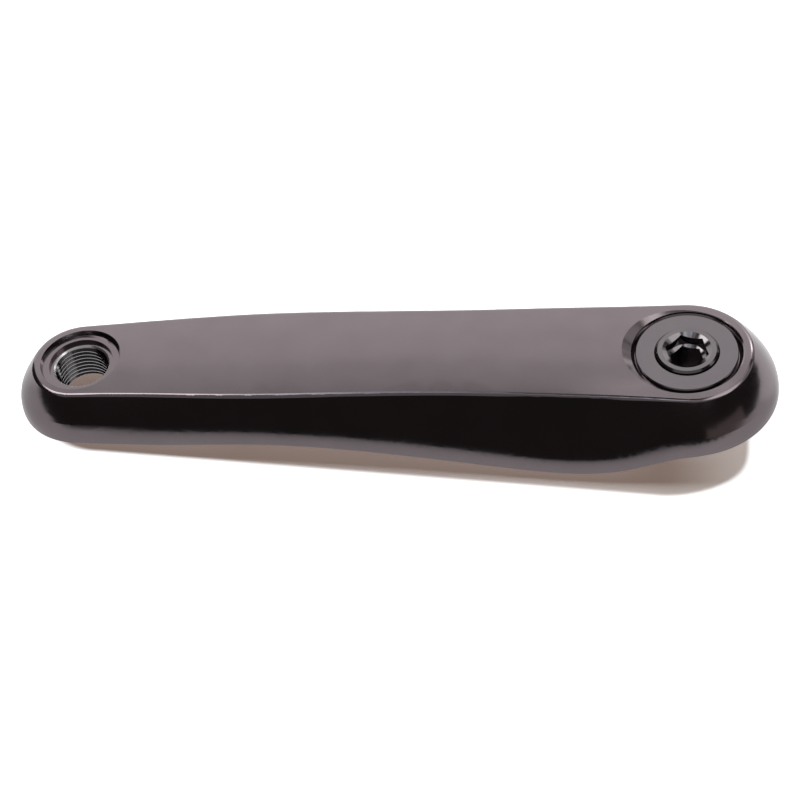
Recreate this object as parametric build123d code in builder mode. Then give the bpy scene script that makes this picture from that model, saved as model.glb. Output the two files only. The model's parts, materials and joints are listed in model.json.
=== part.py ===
from build123d import *
from math import cos, radians, sin, sqrt, tan
import os

# Crank arm for a bicycle with a splined spindle, held by a captive self-extracting bolt.
# Origin: on the spindle axis, in the seat face of the boss that meets the spindle's shoulder.
# +Z points outboard along the spindle axis, and the arm reaches along -X to the pedal eye.
# All sizes are millimetres and degrees.

# Stations along the arm
crank_length = 160.0
waist_from_pedal = 47.0
flank_from_spindle = 50.0
shoulder_from_spindle = 16.0

# Drafted wall in plan, as half widths at the height of the cap's face
wall_half_pedal = 13.9
wall_half_waist = 16.4
wall_half_flank = 16.3
wall_half_shoulder = 16.8
wall_half_spindle = 17.0
side_draft = 28.0
pedal_eye_draft = 36.0
spindle_eye_draft = 40.0
eye_wall_radius = 24.0
pedal_flare = 4.0

# Back of the arm and the upright band round its rim
boss_radius = 17.0
band_height = 4.3
spindle_band_height = 3.8
pedal_eye_thickness = 14.3
spindle_eye_thickness = 16.0
waist_back_rise = 0.4
flank_back_drop = 6.0
shoulder_back_drop = 4.1
eye_back_from_spindle = 7.0

# Outer face, as rises above the cap's face
face_rise_pedal = 2.3
face_rise_crown = 3.4
face_rise_shoulder = 1.7
face_rise_spindle = 1.0
crown_from_pedal = 50.0
pedal_end_drop = 1.5
spindle_end_drop = 1.3
face_crown_radius = 150.0

# Edges of the arm
face_edge_radius = 1.3
crease_radius = 11.0
back_edge_chamfer = 1.2
boss_edge_chamfer = 0.5

# Pedal eye
pedal_thread_diameter = 14.29
pedal_mouth_chamfer = 0.4
pedal_back_chamfer = 0.9
spotface_diameter = 20.6
spotface_depth = 1.75
spotface_wall_angle = 18.0
pedal_step_diameter = 17.2
pedal_step_depth = 1.0

# Spindle socket
socket_depth = 13.0
pilot_radius = 11.6
pilot_depth = 2.4
spline_count = 10
spline_root_radius = 9.4
spline_lobe_radius = 1.6
spline_lobe_circle_radius = 9.6

# Extractor recess
web_thickness = 2.2
extractor_thread_diameter = 22.0
recess_diameter = 28.9
recess_bevel_angle = 53.0
recess_corner_clearance = 0.15

# Extractor cap
cap_gap = 1.1
cap_flange_thickness = 1.5
cap_neck_length = 1.9
cap_thread_clearance = 0.02
cap_edge_chamfer = 0.25

# Crank bolt
bolt_thread_diameter = 15.0
bolt_head_proud = 0.9
bolt_head_chamfer = 0.5
bolt_flange_gap = 0.9
bolt_flange_ledge = 2.0
bolt_flange_thickness = 1.8
bolt_reach = 8.5
bolt_tip_chamfer = 0.8
hex_across_flats = 10.0
hex_depth = 3.1
inner_hex_across_flats = 8.0
inner_hex_depth = 6.5
inner_hex_mouth_radius = 4.9
hex_angle = 45.0
hex_mouth_radius = 6.4
hex_mouth_angle = 30.0

# Washers and fits
bolt_washer_thickness = 1.0
friction_washer_thickness = 0.5
running_clearance = 0.1
head_clearance = 0.1
bolt_hole_clearance = 0.3
washer_clearance = 0.4

# Share of a face's normal along Z under which it counts as upright, and spare length past the body
level_tolerance = 0.02
end_margin = 4.0
top_margin = 1.0

# Stack on the spindle axis, from the web outwards
web_top = socket_depth + web_thickness
washer_top = web_top + bolt_washer_thickness
flange_bottom = washer_top + running_clearance
flange_top = flange_bottom + bolt_flange_thickness
friction_bottom = flange_top + running_clearance
neck_bottom = friction_bottom + friction_washer_thickness
recess_floor = neck_bottom + cap_neck_length
cap_face = recess_floor + cap_flange_thickness

# Places and heights along the arm
bolt_hole_radius = bolt_thread_diameter / 2 + bolt_hole_clearance
bolt_flange_radius = extractor_thread_diameter / 2 - bolt_flange_gap
bolt_head_radius = bolt_flange_radius - bolt_flange_ledge
cap_radius = recess_diameter / 2 - cap_gap
recess_corner_bevel = cap_gap - recess_corner_clearance
cap_hole_radius = bolt_head_radius + head_clearance
cap_neck_radius = extractor_thread_diameter / 2 - cap_thread_clearance
washer_radius = extractor_thread_diameter / 2 - washer_clearance
head_top = cap_face + bolt_head_proud
bolt_tip = socket_depth - bolt_reach
pedal_x = -crank_length
waist_x = pedal_x + waist_from_pedal
flank_x = -flank_from_spindle
shoulder_x = -shoulder_from_spindle
crown_x = pedal_x + crown_from_pedal
pedal_back = cap_face + face_rise_pedal - pedal_eye_thickness
waist_back = pedal_back + waist_back_rise
flank_back = pedal_back - flank_back_drop
spindle_back = cap_face + face_rise_spindle - spindle_eye_thickness
shoulder_back = spindle_back - shoulder_back_drop
side_slope = tan(radians(side_draft))


def eye_spread(depth, draft):
    """Spread of an eye's rounded wall at this depth below the cap's face."""
    return depth * tan(radians(draft)) - depth**2 / (2 * eye_wall_radius)


pedal_wall_depth = cap_face - pedal_back - band_height
spindle_wall_depth = cap_face - spindle_back - spindle_band_height
lip_half_pedal = wall_half_pedal + eye_spread(pedal_wall_depth, pedal_eye_draft)
lip_half_spindle = wall_half_spindle + eye_spread(spindle_wall_depth, spindle_eye_draft)
lip_half_waist = wall_half_waist + (cap_face - waist_back - band_height) * side_slope
lip_half_flank = wall_half_flank + (cap_face - flank_back - band_height) * side_slope
lip_half_shoulder = wall_half_shoulder + (cap_face - shoulder_back - band_height) * side_slope
reach = lip_half_spindle + end_margin


def arm_outline(height, pedal, waist, flank, shoulder, spindle):
    """Closed plan outline: two round eyes joined by smooth sides."""
    flare = radians(pedal_flare)
    start = (pedal_x - pedal * sin(flare), pedal * cos(flare))
    with BuildSketch(Plane.XY.offset(height)) as sketch:
        with BuildLine():
            Spline(
                start,
                (waist_x, waist),
                (flank_x, flank),
                (shoulder_x, shoulder),
                (0, spindle),
                tangents=[(cos(flare), sin(flare)), (1, 0)],
            )
            ThreePointArc((0, spindle), (spindle, 0), (0, -spindle))
            Spline(
                (0, -spindle),
                (shoulder_x, -shoulder),
                (flank_x, -flank),
                (waist_x, -waist),
                (start[0], -start[1]),
                tangents=[(-1, 0), (-cos(flare), sin(flare))],
            )
            ThreePointArc((start[0], -start[1]), (pedal_x - pedal, 0), start)
        make_face()
    return sketch


def wall_outline(height):
    """Outline of the drafted wall at this height."""
    depth = cap_face - height
    return arm_outline(
        height,
        wall_half_pedal + eye_spread(depth, pedal_eye_draft),
        wall_half_waist + depth * side_slope,
        wall_half_flank + depth * side_slope,
        wall_half_shoulder + depth * side_slope,
        wall_half_spindle + eye_spread(depth, spindle_eye_draft),
    )


# Drafted wall, lip and crowned face of the forged arm
wall_top = cap_face + face_rise_crown + top_margin
upper_outline = wall_outline(wall_top)
middle_outline = wall_outline(wall_top / 2)
lower_outline = wall_outline(0)
lip_outline = arm_outline(
    0, lip_half_pedal, lip_half_waist, lip_half_flank, lip_half_shoulder, lip_half_spindle
)

with BuildLine(Plane.XZ) as face_line:
    Spline(
        (reach, cap_face + face_rise_spindle - spindle_end_drop),
        (0, cap_face + face_rise_spindle),
        (shoulder_x, cap_face + face_rise_shoulder),
        (crown_x, cap_face + face_rise_crown),
        (pedal_x, cap_face + face_rise_pedal),
        (pedal_x - reach, cap_face + face_rise_pedal - pedal_end_drop),
    )

section_plane = Plane(origin=face_line.line @ 0, x_dir=(0, -1, 0), z_dir=face_line.line % 0)
crown_sag = face_crown_radius - sqrt(face_crown_radius**2 - reach**2)
with BuildSketch(section_plane) as face_section:
    with BuildLine():
        ThreePointArc((-reach, -crown_sag), (0, 0), (reach, -crown_sag))
        Polyline((reach, -crown_sag), (reach, -wall_top), (-reach, -wall_top), (-reach, -crown_sag))
    make_face()

with BuildSketch(Plane.XZ) as side_profile:
    with BuildLine():
        Spline(
            (pedal_x + lip_half_pedal, pedal_back),
            (waist_x, waist_back),
            (flank_x, flank_back),
            (shoulder_x, shoulder_back),
            (eye_back_from_spindle, spindle_back),
            tangents=[(1, 0), (1, 0)],
        )
        Polyline(
            (eye_back_from_spindle, spindle_back),
            (reach, spindle_back),
            (reach, wall_top),
            (pedal_x - reach, wall_top),
            (pedal_x - reach, pedal_back),
            (pedal_x + lip_half_pedal, pedal_back),
        )
    make_face()

pedal_face = cap_face + face_rise_pedal
spotface_floor = pedal_face - spotface_depth
pedal_step_floor = spotface_floor - pedal_step_depth
thread_radius = pedal_thread_diameter / 2
spotface_spread = (wall_top - spotface_floor) * tan(radians(spotface_wall_angle))
pedal_axis = Axis((pedal_x, 0, 0), (0, 0, 1))
bevel_spread = (wall_top - cap_face) * tan(radians(recess_bevel_angle))


def is_upright(face):
    """The face is part of the upright band."""
    return abs(face.normal_at().Z) < level_tolerance


def faces_up(face):
    """The face looks outboard."""
    return face.normal_at().Z > level_tolerance


def faces_down(face):
    """The face looks inboard."""
    return face.normal_at().Z < -level_tolerance


def edges_between(body, one_side, other_side):
    """Edges where faces of the two kinds meet."""
    return body.faces().filter_by(one_side).edges() & body.faces().filter_by(other_side).edges()


with BuildPart() as crank_arm:
    # Forged body: drafted wall, upright band, crowned face and arched back
    loft([upper_outline.sketch, middle_outline.sketch, lower_outline.sketch])
    extrude(lip_outline.sketch, amount=wall_top, mode=Mode.INTERSECT)
    sweep(face_section.sketch, path=face_line.line, mode=Mode.INTERSECT)
    extrude(side_profile.sketch, amount=reach, both=True, mode=Mode.INTERSECT)

    # Rounded crease and face edge, bevelled back edge
    fillet(edges_between(crank_arm, is_upright, faces_up), crease_radius)
    chamfer(edges_between(crank_arm, is_upright, faces_down), back_edge_chamfer)
    fillet(crank_arm.faces().sort_by(Axis.Z)[-1].edges(), face_edge_radius)

    # Boss that seats on the spindle's shoulder
    with BuildSketch():
        Circle(boss_radius)
    extrude(amount=spindle_back + back_edge_chamfer)
    chamfer(crank_arm.faces().sort_by(Axis.Z)[0].edges(), boss_edge_chamfer)

    # Splined socket with a round pilot at its mouth
    with BuildSketch():
        Circle(spline_root_radius)
        with PolarLocations(spline_lobe_circle_radius, spline_count):
            Circle(spline_lobe_radius)
    extrude(amount=socket_depth, mode=Mode.SUBTRACT)
    with BuildSketch():
        Circle(pilot_radius)
    extrude(amount=pilot_depth, mode=Mode.SUBTRACT)

    # Bolt hole through the web, extractor thread and bevelled recess
    with BuildSketch(Plane.XZ):
        with BuildLine():
            Polyline(
                (0, socket_depth),
                (bolt_hole_radius, socket_depth),
                (bolt_hole_radius, web_top),
                (extractor_thread_diameter / 2, web_top),
                (extractor_thread_diameter / 2, recess_floor),
                (recess_diameter / 2 - recess_corner_bevel, recess_floor),
                (recess_diameter / 2, recess_floor + recess_corner_bevel),
                (recess_diameter / 2, cap_face),
                (recess_diameter / 2 + bevel_spread, wall_top),
                (0, wall_top),
                close=True,
            )
        make_face()
    revolve(axis=Axis.Z, mode=Mode.SUBTRACT)

    # Pedal eye: spotface with a leaning wall, step and threaded bore
    with BuildSketch(Plane.XZ):
        with BuildLine():
            Polyline(
                (pedal_x, 0),
                (pedal_x + thread_radius + pedal_back_chamfer, 0),
                (pedal_x + thread_radius + pedal_back_chamfer, pedal_back),
                (pedal_x + thread_radius, pedal_back + pedal_back_chamfer),
                (pedal_x + thread_radius, pedal_step_floor - pedal_mouth_chamfer),
                (pedal_x + thread_radius + pedal_mouth_chamfer, pedal_step_floor),
                (pedal_x + pedal_step_diameter / 2, pedal_step_floor),
                (pedal_x + pedal_step_diameter / 2, spotface_floor),
                (pedal_x + spotface_diameter / 2, spotface_floor),
                (pedal_x + spotface_diameter / 2 + spotface_spread, wall_top),
                (pedal_x, wall_top),
                close=True,
            )
        make_face()
    revolve(axis=pedal_axis, mode=Mode.SUBTRACT)

# Extractor cap, screwed into the recess over the bolt's flange
with BuildPart() as extractor_cap:
    with BuildSketch(Plane.XZ):
        with BuildLine():
            Polyline(
                (cap_hole_radius, neck_bottom),
                (cap_neck_radius, neck_bottom),
                (cap_neck_radius, recess_floor),
                (cap_radius, recess_floor),
                (cap_radius, cap_face),
                (cap_hole_radius, cap_face),
                close=True,
            )
        make_face()
    revolve(axis=Axis.Z)
    chamfer(extractor_cap.faces().sort_by(Axis.Z)[-1].edges(), cap_edge_chamfer)

# Captive bolt: threaded shank, flange under the cap and a socket head through it
with BuildPart() as crank_bolt:
    with BuildSketch(Plane.XZ):
        with BuildLine():
            Polyline(
                (0, bolt_tip),
                (bolt_thread_diameter / 2, bolt_tip),
                (bolt_thread_diameter / 2, flange_bottom),
                (bolt_flange_radius, flange_bottom),
                (bolt_flange_radius, flange_top),
                (bolt_head_radius, flange_top),
                (bolt_head_radius, head_top),
                (0, head_top),
                close=True,
            )
        make_face()
    revolve(axis=Axis.Z)
    chamfer(crank_bolt.faces().sort_by(Axis.Z)[-1].edges(), bolt_head_chamfer)
    chamfer(crank_bolt.faces().sort_by(Axis.Z)[0].edges(), bolt_tip_chamfer)

    # Stepped hexagonal socket, each step with a conical lead-in
    for top, across_flats, depth, mouth_radius in (
        (head_top, hex_across_flats, hex_depth, hex_mouth_radius),
        (head_top - hex_depth, inner_hex_across_flats, inner_hex_depth, inner_hex_mouth_radius),
    ):
        with BuildSketch(Plane.XY.offset(top)):
            RegularPolygon(across_flats / 2, 6, major_radius=False, rotation=hex_angle)
        extrude(amount=-depth, mode=Mode.SUBTRACT)
        with BuildSketch(Plane.XZ):
            with BuildLine():
                Polyline(
                    (0, top),
                    (mouth_radius, top),
                    (0, top - mouth_radius * tan(radians(hex_mouth_angle))),
                    close=True,
                )
            make_face()
        revolve(axis=Axis.Z, mode=Mode.SUBTRACT)


def washer(bottom, inner_radius, outer_radius, thickness):
    """Flat ring on the spindle axis."""
    with BuildPart() as ring:
        with BuildSketch(Plane.XY.offset(bottom)):
            Circle(outer_radius)
            Circle(inner_radius, mode=Mode.SUBTRACT)
        extrude(amount=thickness)
    return ring


bolt_washer = washer(web_top, bolt_hole_radius, washer_radius, bolt_washer_thickness)
friction_washer = washer(friction_bottom, cap_hole_radius, washer_radius, friction_washer_thickness)

os.makedirs("parts", exist_ok=True)
for name, piece in (
    ("crank_arm", crank_arm),
    ("extractor_cap", extractor_cap),
    ("crank_bolt", crank_bolt),
    ("bolt_washer", bolt_washer),
    ("friction_washer", friction_washer),
):
    piece.part.label = name
    export_step(piece.part, f"parts/{name}.step")
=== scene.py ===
"""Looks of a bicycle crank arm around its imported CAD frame. Metres, in the part's own axes."""

import json
from math import cos, pi, radians, sin, tau

import bpy
from mathutils import Matrix, Vector


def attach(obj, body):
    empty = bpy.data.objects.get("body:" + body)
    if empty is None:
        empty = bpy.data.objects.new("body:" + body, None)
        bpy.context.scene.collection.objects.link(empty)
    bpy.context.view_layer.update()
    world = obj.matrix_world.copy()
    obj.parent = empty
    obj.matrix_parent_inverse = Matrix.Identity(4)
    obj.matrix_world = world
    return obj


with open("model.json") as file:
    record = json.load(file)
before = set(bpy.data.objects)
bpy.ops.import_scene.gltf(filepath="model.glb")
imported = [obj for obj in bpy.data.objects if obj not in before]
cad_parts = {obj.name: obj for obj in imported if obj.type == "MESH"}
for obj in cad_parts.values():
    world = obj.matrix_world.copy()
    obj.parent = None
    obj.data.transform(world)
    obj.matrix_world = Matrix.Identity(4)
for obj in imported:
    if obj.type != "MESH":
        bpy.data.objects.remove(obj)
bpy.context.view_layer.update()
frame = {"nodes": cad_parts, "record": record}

MM = 0.001
WHITE = (1.0, 1.0, 1.0)

# Pedal bore, with thread ridges and a bright cut edge on its conical mouth
pedal_mount = next(mount for mount in frame["record"]["mounts"] if mount["name"] == "pedal_thread")
PEDAL_X, PEDAL_Y, PEDAL_MIDDLE = pedal_mount["pos_m"]
PEDAL_BORE_RADIUS = pedal_mount["dims"]["r_mm"] * MM
PEDAL_BORE_LENGTH = pedal_mount["dims"]["length_mm"] * MM
PEDAL_BORE_BACK = PEDAL_MIDDLE - PEDAL_BORE_LENGTH / 2
PEDAL_BORE_MOUTH = PEDAL_MIDDLE + PEDAL_BORE_LENGTH / 2
PEDAL_AXIS = Vector((PEDAL_X, PEDAL_Y, 0.0))
PEDAL_PITCH = 1.27 * MM
PEDAL_THREAD_DEPTH = 0.62 * MM
PEDAL_FOOT_SHARE = 0.92
PEDAL_CREST_SHARE = 0.14
PEDAL_MOUTH_CHAMFER = 0.4 * MM
MOUTH_SKIN = 0.03 * MM

# Shank of the bolt, with thread ridges
BOLT_AXIS = Vector((0.0, 0.0, 0.0))
SHANK_RADIUS = 7.5 * MM
SHANK_TIP = 5.4 * MM
SHANK_TOP = 12.6 * MM
SHANK_PITCH = 1.0 * MM
SHANK_THREAD_HEIGHT = 0.2 * MM
SHANK_FOOT_SHARE = 0.8
SHANK_CREST_SHARE = 0.2

# Every thread ridge: how deep its foot is sunk in the metal, and its corners and steps
THREAD_ROOT = 0.03 * MM
RIDGE_CORNERS = 4
RIDGE_CREST = 1
TURN_STEPS = 96

# Texture of the metal: patches of tone and gloss, and a fine grain
PATCH_SCALE = 90.0
PATCH_LOW = 0.3
PATCH_HIGH = 0.7
GRAIN_SCALE = 5200.0
GRAIN_DEPTH = 0.003 * MM

# Floor that the arm lies on: it touches the boss's rim and the back of the pedal eye
REST_BOSS = Vector((-16.5, 0.0, 0.0)) * MM
REST_PEDAL = Vector((-177.0, 0.0, 10.1)) * MM
FLOOR_GAP = 0.05 * MM
FLOOR_HALF = 3.0
PAPER_COLOUR = (0.92, 0.905, 0.895)

# Painted shadow: a shaded strip painted on the floor round the arm, between the two eyes
SHADE_PEDAL = -155.0 * MM
SHADE_SPINDLE = -7.0 * MM
SHADE_HALF_PEDAL = 19.0 * MM
SHADE_HALF_SPINDLE = 29.3 * MM
SHADE_PALER = -8.0 * MM
SHADE_END = 15.9 * MM
SHADE_CORNER = 7.0 * MM
SHADE_EDGE_INNER = -1.0 * MM
SHADE_EDGE_OUTER = 0.8 * MM
PAINTED_SHADOW_COLOUR = (0.16, 0.112, 0.086)
PAINTED_SHADOW_END_COLOUR = (0.36, 0.31, 0.28)

# Painted reflection: glow of the floor that only the metal's reflections see, in front of the arm and behind
# it
MIRROR_NEAR = -10.0 * MM
MIRROR_FAR = 75.0 * MM
MIRROR_NEAR_LEVEL = 0.82
MIRROR_FAR_LEVEL = 0.03
MIRROR_END_SPREAD = -1.15
MIRROR_BACK_START = -30.0 * MM
MIRROR_BACK_END = 20.0 * MM
MIRROR_BACK_LEVEL = 1.15

# Light of the room, and where panels face
ROOM_COLOUR = (0.036, 0.031, 0.03)
WARM = (1.0, 0.9, 0.82)
FAINT_BLUE = (0.92, 0.98, 1.05)
PALE_BLUE = (0.9, 0.98, 1.07)
COOL_BLUE = (0.87, 0.97, 1.1)
DOWN = (0.0, 0.0, -1.0)
TO_FRONT = (0.0, -1.0, 0.0)
TO_PEDAL = (-1.0, 0.0, 0.0)
FROM_CORNER = (-0.7, 0.72, 0.0)
BACK_WALL = 0.7

# Camera
LENS = 97.92
SENSOR = 36.0
CLIP_START = 0.01
CLIP_END = 20.0
CAMERA_PLACE = Vector((-8.6, -389.8, 432.4)) * MM
CAMERA_RIGHT = Vector((0.9931, 0.0639, -0.0977))
CAMERA_BACK = Vector((0.1161, -0.67, 0.7334))


def add_object(name, data):
    """New object that shows the data."""
    obj = bpy.data.objects.new(name, data)
    bpy.context.scene.collection.objects.link(obj)
    return obj


def add_mesh(name, vertices, faces, sharp_angle=30.0):
    """New mesh object from plain lists, smooth except at edges sharper than the angle in degrees."""
    mesh = bpy.data.meshes.new(name)
    mesh.from_pydata(vertices, [], faces)
    mesh.validate()
    mesh.update()
    for polygon in mesh.polygons:
        polygon.use_smooth = True
    mesh.set_sharp_from_angle(angle=radians(sharp_angle))
    return add_object(name, mesh)


def rgba(colour):
    return (*colour, 1.0)


class Nodes:
    """Short way to build the node tree of a new material."""

    def __init__(self, name):
        self.material = bpy.data.materials.new(name)
        self.material.use_nodes = True
        self.tree = self.material.node_tree
        self.tree.nodes.clear()

    def add(self, kind, settings=None, inputs=None):
        node = self.tree.nodes.new(kind)
        for key, value in (settings or {}).items():
            setattr(node, key, value)
        for key, value in (inputs or {}).items():
            if isinstance(value, bpy.types.NodeSocket):
                self.tree.links.new(value, node.inputs[key])
            else:
                node.inputs[key].default_value = value
        return node

    def math(self, operation, *values):
        return self.add("ShaderNodeMath", {"operation": operation}, dict(enumerate(values))).outputs[0]

    def ramp(self, value, start, end, low=0.0, high=1.0, shape="LINEAR"):
        """Goes from low at start to high at end, and stays there beyond them."""
        return self.add(
            "ShaderNodeMapRange",
            {"interpolation_type": shape},
            {"Value": value, "From Min": start, "From Max": end, "To Min": low, "To Max": high},
        ).outputs["Result"]

    def mix(self, kind, share, first, second):
        return self.add(
            "ShaderNodeMix", {"data_type": kind}, {"Factor": share, "A": first, "B": second}
        ).outputs["Result"]


def metal(name, low, high, roughness, metallic=1.0, rings=None):
    """Coated metal: drifting tone and gloss, a fine grain, and turned rings (spacing, share) if asked."""
    n = Nodes(name)
    place = n.add("ShaderNodeTexCoord").outputs["Object"]
    drift = n.add(
        "ShaderNodeTexNoise",
        inputs={"Vector": place, "Scale": PATCH_SCALE, "Detail": 4.0, "Roughness": 0.55},
    ).outputs["Fac"]
    tone = n.add("ShaderNodeValToRGB", inputs={"Fac": drift})
    for element, position, colour in zip(tone.color_ramp.elements, (PATCH_LOW, PATCH_HIGH), (low, high)):
        element.position = position
        element.color = rgba(colour)
    gloss = n.ramp(drift, PATCH_LOW, PATCH_HIGH, *roughness)
    height = n.add(
        "ShaderNodeTexNoise",
        inputs={"Vector": place, "Scale": GRAIN_SCALE, "Detail": 2.0, "Roughness": 0.5},
    ).outputs["Fac"]
    if rings:
        spacing, share = rings
        flat = n.add(
            "ShaderNodeVectorMath", {"operation": "MULTIPLY"}, {0: place, 1: (1.0, 1.0, 0.0)}
        ).outputs["Vector"]
        radius = n.add("ShaderNodeVectorMath", {"operation": "LENGTH"}, {0: flat}).outputs["Value"]
        groove = n.add(
            "ShaderNodeTexNoise",
            {"noise_dimensions": "1D"},
            {"W": radius, "Scale": 1.0 / spacing, "Detail": 3.0, "Roughness": 0.6},
        ).outputs["Fac"]
        height = n.mix("FLOAT", share, height, groove)
    normal = n.add(
        "ShaderNodeBump", inputs={"Strength": 1.0, "Distance": GRAIN_DEPTH, "Height": height}
    ).outputs["Normal"]
    shader = n.add(
        "ShaderNodeBsdfPrincipled",
        inputs={
            "Base Color": tone.outputs["Color"],
            "Metallic": metallic,
            "Roughness": gloss,
            "Normal": normal,
        },
    )
    n.add("ShaderNodeOutputMaterial", inputs={"Surface": shader.outputs["BSDF"]})
    return n.material


arm_coat = metal("arm_coat", (0.187, 0.158, 0.168), (0.203, 0.173, 0.182), (0.13, 0.17))
cap_coat = metal(
    "cap_coat", (0.166, 0.147, 0.158), (0.184, 0.163, 0.174), (0.16, 0.2), rings=(0.12 * MM, 0.35)
)
bolt_plate = metal(
    "bolt_plate", (0.157, 0.142, 0.149), (0.189, 0.173, 0.179), (0.1, 0.15), rings=(0.15 * MM, 0.3)
)
# Thread metal in two copies: flanks painted near-black as shade in the bore, crests painted bright as
# highlight lines
thread_flank_painted_shade = metal("thread_flank_painted_shade", (0.038, 0.036, 0.039), (0.056, 0.053, 0.057), (0.1, 0.15))
thread_crest_painted_highlight = metal("thread_crest_painted_highlight", (0.42, 0.415, 0.42), (0.54, 0.53, 0.535), (0.12, 0.18))
bare_edge = metal("bare_edge", (0.62, 0.61, 0.605), (0.76, 0.75, 0.74), (0.2, 0.28))
washer_plate = metal("washer_plate", (0.42, 0.42, 0.43), (0.55, 0.55, 0.56), (0.3, 0.4))
washer_nylon = metal("washer_nylon", (0.03, 0.03, 0.03), (0.05, 0.05, 0.05), (0.5, 0.6), metallic=0.0)

for node, material in (
    ("crank_arm", arm_coat),
    ("extractor_cap", cap_coat),
    ("crank_bolt", bolt_plate),
    ("bolt_washer", washer_plate),
    ("friction_washer", washer_nylon),
):
    for material_slot in frame["nodes"][node].material_slots:
        material_slot.material = material


def around(centre, radius, angle, level):
    """Point at a radius and an angle about an upright axis."""
    return (centre.x + radius * cos(angle), centre.y + radius * sin(angle), level)


def helix_ridge(name, centre, foot_radius, height, low, high, pitch, foot_share, crest_share):
    """Right-hand thread ridge from low to high on a bore (negative height) or a shank, with bevelled ends."""
    count = round((high - low) / pitch * TURN_STEPS)
    outward = 1.0 if height > 0 else -1.0
    section = (
        (0.0, -foot_share * pitch / 2),
        (abs(height), -crest_share * pitch / 2),
        (abs(height), crest_share * pitch / 2),
        (0.0, foot_share * pitch / 2),
    )
    vertices = []
    for i in range(count + 1):
        middle = low + pitch * i / TURN_STEPS
        for rise, offset in section:
            level = min(max(middle + offset, low), high)
            radius = foot_radius + outward * min(rise, level - low, high - level)
            vertices.append(around(centre, radius, tau * i / TURN_STEPS, level))
    faces = []
    for i in range(count):
        for k in range(RIDGE_CORNERS):
            a = RIDGE_CORNERS * i + k
            b = RIDGE_CORNERS * i + (k + 1) % RIDGE_CORNERS
            face = (a, b, b + RIDGE_CORNERS, a + RIDGE_CORNERS)
            faces.append(face if height > 0 else face[::-1])
    return add_mesh(name, vertices, faces)


pedal_thread = helix_ridge(
    "pedal_thread",
    PEDAL_AXIS,
    PEDAL_BORE_RADIUS + THREAD_ROOT,
    -(PEDAL_THREAD_DEPTH + THREAD_ROOT),
    PEDAL_BORE_BACK,
    PEDAL_BORE_MOUTH,
    PEDAL_PITCH,
    PEDAL_FOOT_SHARE,
    PEDAL_CREST_SHARE,
)
pedal_thread.data.materials.append(thread_flank_painted_shade)
pedal_thread.data.materials.append(thread_crest_painted_highlight)
# Crest faces take the painted-highlight copy, the flanks the painted-shade copy
for index, polygon in enumerate(pedal_thread.data.polygons):
    polygon.material_index = 1 if index % RIDGE_CORNERS == RIDGE_CREST else 0
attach(pedal_thread, "arm")


def mouth_ring(name, centre, bore_radius, width, level):
    """Bright cut edge that lines the conical mouth of a bore, with its back sunk in the metal."""
    section = (
        (bore_radius - MOUTH_SKIN, level),
        (bore_radius + width - MOUTH_SKIN, level + width),
        (bore_radius + width + MOUTH_SKIN, level + width - MOUTH_SKIN),
        (bore_radius + MOUTH_SKIN, level - MOUTH_SKIN),
    )
    corners = len(section)
    vertices = []
    faces = []
    for i in range(TURN_STEPS):
        here = corners * i
        ahead = corners * ((i + 1) % TURN_STEPS)
        for radius, height in section:
            vertices.append(around(centre, radius, tau * i / TURN_STEPS, height))
        for k in range(corners):
            following = (k + 1) % corners
            faces.append((ahead + k, ahead + following, here + following, here + k))
    return add_mesh(name, vertices, faces)


pedal_mouth = mouth_ring("pedal_mouth", PEDAL_AXIS, PEDAL_BORE_RADIUS, PEDAL_MOUTH_CHAMFER, PEDAL_BORE_MOUTH)
pedal_mouth.data.materials.append(bare_edge)
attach(pedal_mouth, "arm")

shank_thread = helix_ridge(
    "shank_thread",
    BOLT_AXIS,
    SHANK_RADIUS - THREAD_ROOT,
    SHANK_THREAD_HEIGHT + THREAD_ROOT,
    SHANK_TIP,
    SHANK_TOP,
    SHANK_PITCH,
    SHANK_FOOT_SHARE,
    SHANK_CREST_SHARE,
)
shank_thread.data.materials.append(bolt_plate)
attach(shank_thread, "bolt")


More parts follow.
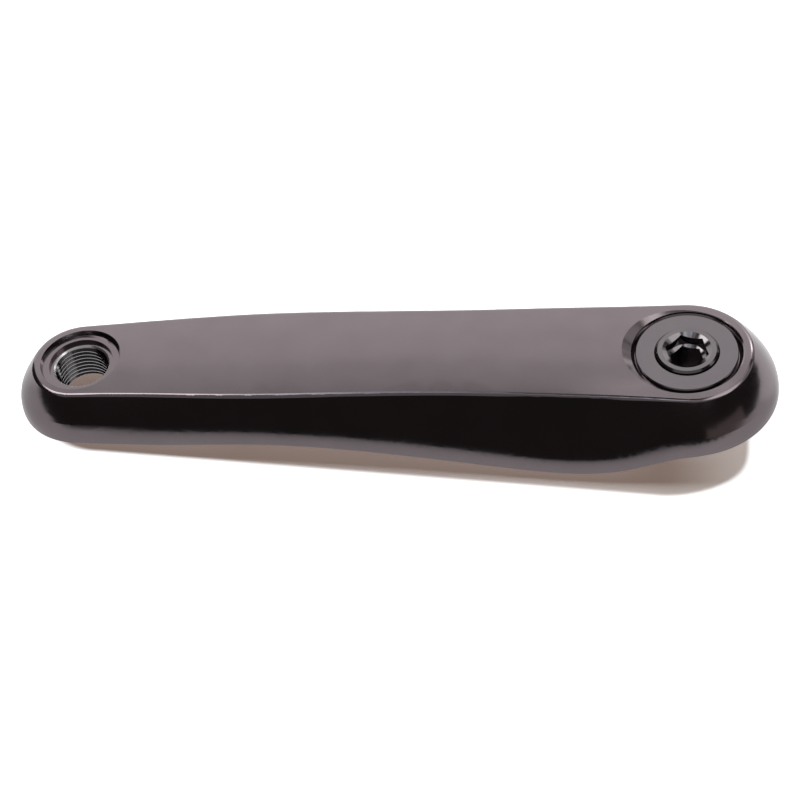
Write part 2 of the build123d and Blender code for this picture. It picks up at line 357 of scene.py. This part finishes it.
def floor_paper(name):
    """White paper with a painted shadow strip round the arm, and a glow seen only in the metal that paints
    the floor's reflection.
    """
    n = Nodes(name)
    rays = n.add("ShaderNodeLightPath").outputs
    point = n.add("ShaderNodeTexCoord").outputs["Object"]
    place = n.add("ShaderNodeSeparateXYZ", inputs={"Vector": point}).outputs

    # Distance from the rim of a strip that widens from the pedal eye to the spindle eye; the painted shadow
    # and the painted reflection both follow it
    beside = n.add(
        "ShaderNodeClamp", inputs={"Value": place["X"], "Min": SHADE_PEDAL, "Max": SHADE_SPINDLE}
    ).outputs[0]
    past_end = n.math("SUBTRACT", place["X"], beside)
    offset = n.add("ShaderNodeCombineXYZ", inputs={"X": past_end, "Y": place["Y"]}).outputs["Vector"]
    from_axis = n.add("ShaderNodeVectorMath", {"operation": "LENGTH"}, {0: offset}).outputs["Value"]
    half_width = n.ramp(beside, SHADE_PEDAL, SHADE_SPINDLE, SHADE_HALF_PEDAL, SHADE_HALF_SPINDLE)
    clear_of_arm = n.math("SUBTRACT", from_axis, half_width)

    # Painted shadow as the camera sees it: cut off past the spindle eye, paler there, and white beyond its
    # edge
    past_shade = n.math("SUBTRACT", place["X"], SHADE_END)
    clear_of_shade = n.math("SMOOTH_MAX", clear_of_arm, past_shade, SHADE_CORNER)
    outside = n.ramp(clear_of_shade, SHADE_EDGE_INNER, SHADE_EDGE_OUTER, shape="SMOOTHSTEP")
    towards_end = n.ramp(place["X"], SHADE_PALER, SHADE_END, shape="SMOOTHSTEP")
    painted_shadow_colour = n.mix("RGBA", towards_end, rgba(PAINTED_SHADOW_COLOUR), rgba(PAINTED_SHADOW_END_COLOUR))
    seen_colour = n.mix("RGBA", outside, painted_shadow_colour, rgba(WHITE))

    # Painted reflection: the floor glows only for mirror rays, dimming away from the arm in front and bright
    # behind
    beyond_end = n.math("ABSOLUTE", past_end)
    in_front = n.math("MULTIPLY_ADD", beyond_end, MIRROR_END_SPREAD, clear_of_arm)
    front_level = n.ramp(
        in_front, MIRROR_NEAR, MIRROR_FAR, MIRROR_NEAR_LEVEL, MIRROR_FAR_LEVEL, "SMOOTHSTEP"
    )
    back_level = n.ramp(place["Y"], MIRROR_BACK_START, MIRROR_BACK_END, 0.0, MIRROR_BACK_LEVEL)
    mirror_level = n.math("MAXIMUM", front_level, back_level)
    mirror_ray = n.math("MAXIMUM", rays["Is Glossy Ray"], rays["Is Transmission Ray"])

    paper = n.add("ShaderNodeBsdfDiffuse", inputs={"Color": rgba(PAPER_COLOUR)}).outputs[0]
    # Camera rays see the floor glow white outside the strip and in the painted shadow colour inside it
    seen = n.add(
        "ShaderNodeEmission", inputs={"Color": seen_colour, "Strength": rays["Is Camera Ray"]}
    ).outputs[0]
    painted_reflection_glow = n.add("ShaderNodeEmission", inputs={"Color": rgba(WHITE), "Strength": mirror_level}).outputs[0]
    lit = n.add("ShaderNodeAddShader", inputs={0: paper, 1: seen}).outputs[0]
    surface = n.add("ShaderNodeMixShader", inputs={0: mirror_ray, 1: lit, 2: painted_reflection_glow}).outputs[0]
    n.add("ShaderNodeOutputMaterial", inputs={"Surface": surface})
    return n.material


# Floor under the resting arm
along = (REST_BOSS - REST_PEDAL).normalized()
across = Vector((0.0, 1.0, 0.0))
up = along.cross(across).normalized()
floor_centre = (REST_BOSS + REST_PEDAL) / 2 - up * FLOOR_GAP
floor = add_mesh(
    "floor",
    [
        tuple(floor_centre + along * FLOOR_HALF * i + across * FLOOR_HALF * j)
        for i, j in ((-1, -1), (1, -1), (1, 1), (-1, 1))
    ],
    [(0, 1, 2, 3)],
)
floor.data.materials.append(floor_paper("floor_white"))

# Warm, dim room
world = bpy.data.worlds.new("room")
world.use_nodes = True
background = world.node_tree.nodes["Background"].inputs
background["Color"].default_value = rgba(ROOM_COLOUR)
background["Strength"].default_value = 1.0
bpy.context.scene.world = world


def softbox(name, place, facing, width, height, radiance, colour=WHITE):
    """Rectangular lamp at a place, facing a direction, with an even brightness over its face."""
    lamp = bpy.data.lights.new(name, "AREA")
    lamp.shape = "RECTANGLE"
    lamp.size = width
    lamp.size_y = height
    lamp.energy = radiance * pi * width * height
    lamp.color = colour
    obj = add_object(name, lamp)
    obj.location = place
    obj.rotation_mode = "QUATERNION"
    obj.rotation_quaternion = Vector(facing).to_track_quat("-Z", "Y")
    obj.visible_camera = False
    return obj


# Wide panel behind the arm that dims upwards and to the right
for left, right, low, high, radiance in (
    (-0.95, 0.5, 0.02, 0.61, 1.25),
    (-0.95, 0.5, 0.61, 0.85, 1.15),
    (-0.95, 0.5, 0.85, 1.17, 0.87),
    (0.5, 0.95, 0.02, 0.61, 0.5),
):
    middle = ((left + right) / 2, BACK_WALL, (low + high) / 2)
    softbox("back_panel", middle, TO_FRONT, right - left, high - low, radiance)

# Lamp overhead on the left that throws the shadow
key = softbox("key_lamp", (-0.57, 0.19, 0.8), DOWN, 0.5, 0.37, 8.0)
key.visible_glossy = False

# Panels that only gleam in the metal
for name, place, facing, width, height, radiance, colour in (
    # Bright line along the near edge of the face, dimmer and bluer to the right
    ("left_gleam", (-0.52, 0.13, 0.73), DOWN, 0.46, 0.36, 4.1, WHITE),
    ("left_gleam", (-0.245, 0.08, 0.73), DOWN, 0.09, 0.34, 2.1, FAINT_BLUE),
    ("left_gleam", (-0.15, 0.08, 0.73), DOWN, 0.1, 0.34, 1.0, COOL_BLUE),
    ("left_gleam", (-0.04, 0.08, 0.73), DOWN, 0.12, 0.34, 0.25, COOL_BLUE),
    # Faint patch on the wall of the spindle eye
    ("corner", (0.7, -0.72, 0.06), FROM_CORNER, 0.9, 0.24, 0.19, WARM),
    # Face between the cap and the near edge
    ("end_gleam", (0.085, 0.4, 0.9), DOWN, 0.17, 0.35, 0.85, WHITE),
    # Far side of the conical mouth of the bolt's socket
    ("top_gleam", (0.05, -0.21, 0.72), DOWN, 0.1, 0.14, 1.6, PALE_BLUE),
    ("top_gleam", (-0.04, -0.2, 0.72), DOWN, 0.08, 0.07, 1.0, PALE_BLUE),
    ("top_gleam", (-0.12, -0.155, 0.72), DOWN, 0.08, 0.07, 1.5, PALE_BLUE),
    ("top_gleam", (-0.2, -0.1, 0.72), DOWN, 0.08, 0.07, 1.5, PALE_BLUE),
    # Ridge round the spindle eye
    ("right_gleam", (0.5, -0.075, 0.72), DOWN, 0.6, 0.39, 1.9, WHITE),
    # Slope left of the cap, brightest in its middle
    ("back_right_gleam", (0.42, 0.69, 0.53), TO_FRONT, 0.5, 0.62, 0.4, WHITE),
    ("back_right_gleam", (0.43, 0.68, 0.53), TO_FRONT, 0.36, 0.46, 0.5, WHITE),
    ("back_right_gleam", (0.44, 0.67, 0.53), TO_FRONT, 0.22, 0.3, 0.6, WHITE),
    # Left flanks of the pedal thread
    ("thread_gleam", (0.46, 0.66, 0.47), TO_FRONT, 0.12, 0.16, 6.0, WHITE),
    # Slope behind the cap
    ("bridge", (0.45, 0.32, 0.75), DOWN, 0.6, 0.4, 0.8, WHITE),
    # End wall of the spindle eye
    ("side_panel", (0.95, 0.25, 0.56), TO_PEDAL, 0.8, 0.4, 0.62, WHITE),
    # Near side
    ("ceiling", (0.0, -1.1, 1.3), DOWN, 2.6, 1.75, 0.31, WHITE),
):
    gleam = softbox(name, place, facing, width, height, radiance, colour)
    gleam.visible_diffuse = False

camera_data = bpy.data.cameras.new("camera")
camera_data.lens = LENS
camera_data.sensor_width = SENSOR
camera_data.clip_start = CLIP_START
camera_data.clip_end = CLIP_END
camera = add_object("camera", camera_data)
back_axis = CAMERA_BACK.normalized()
right_axis = (CAMERA_RIGHT - back_axis * CAMERA_RIGHT.dot(back_axis)).normalized()
up_axis = back_axis.cross(right_axis)
turn = Matrix((right_axis, up_axis, back_axis)).transposed()
camera.matrix_world = Matrix.Translation(CAMERA_PLACE) @ turn.to_4x4()
bpy.context.scene.camera = camera

bpy.context.scene.view_settings.view_transform = "Standard"
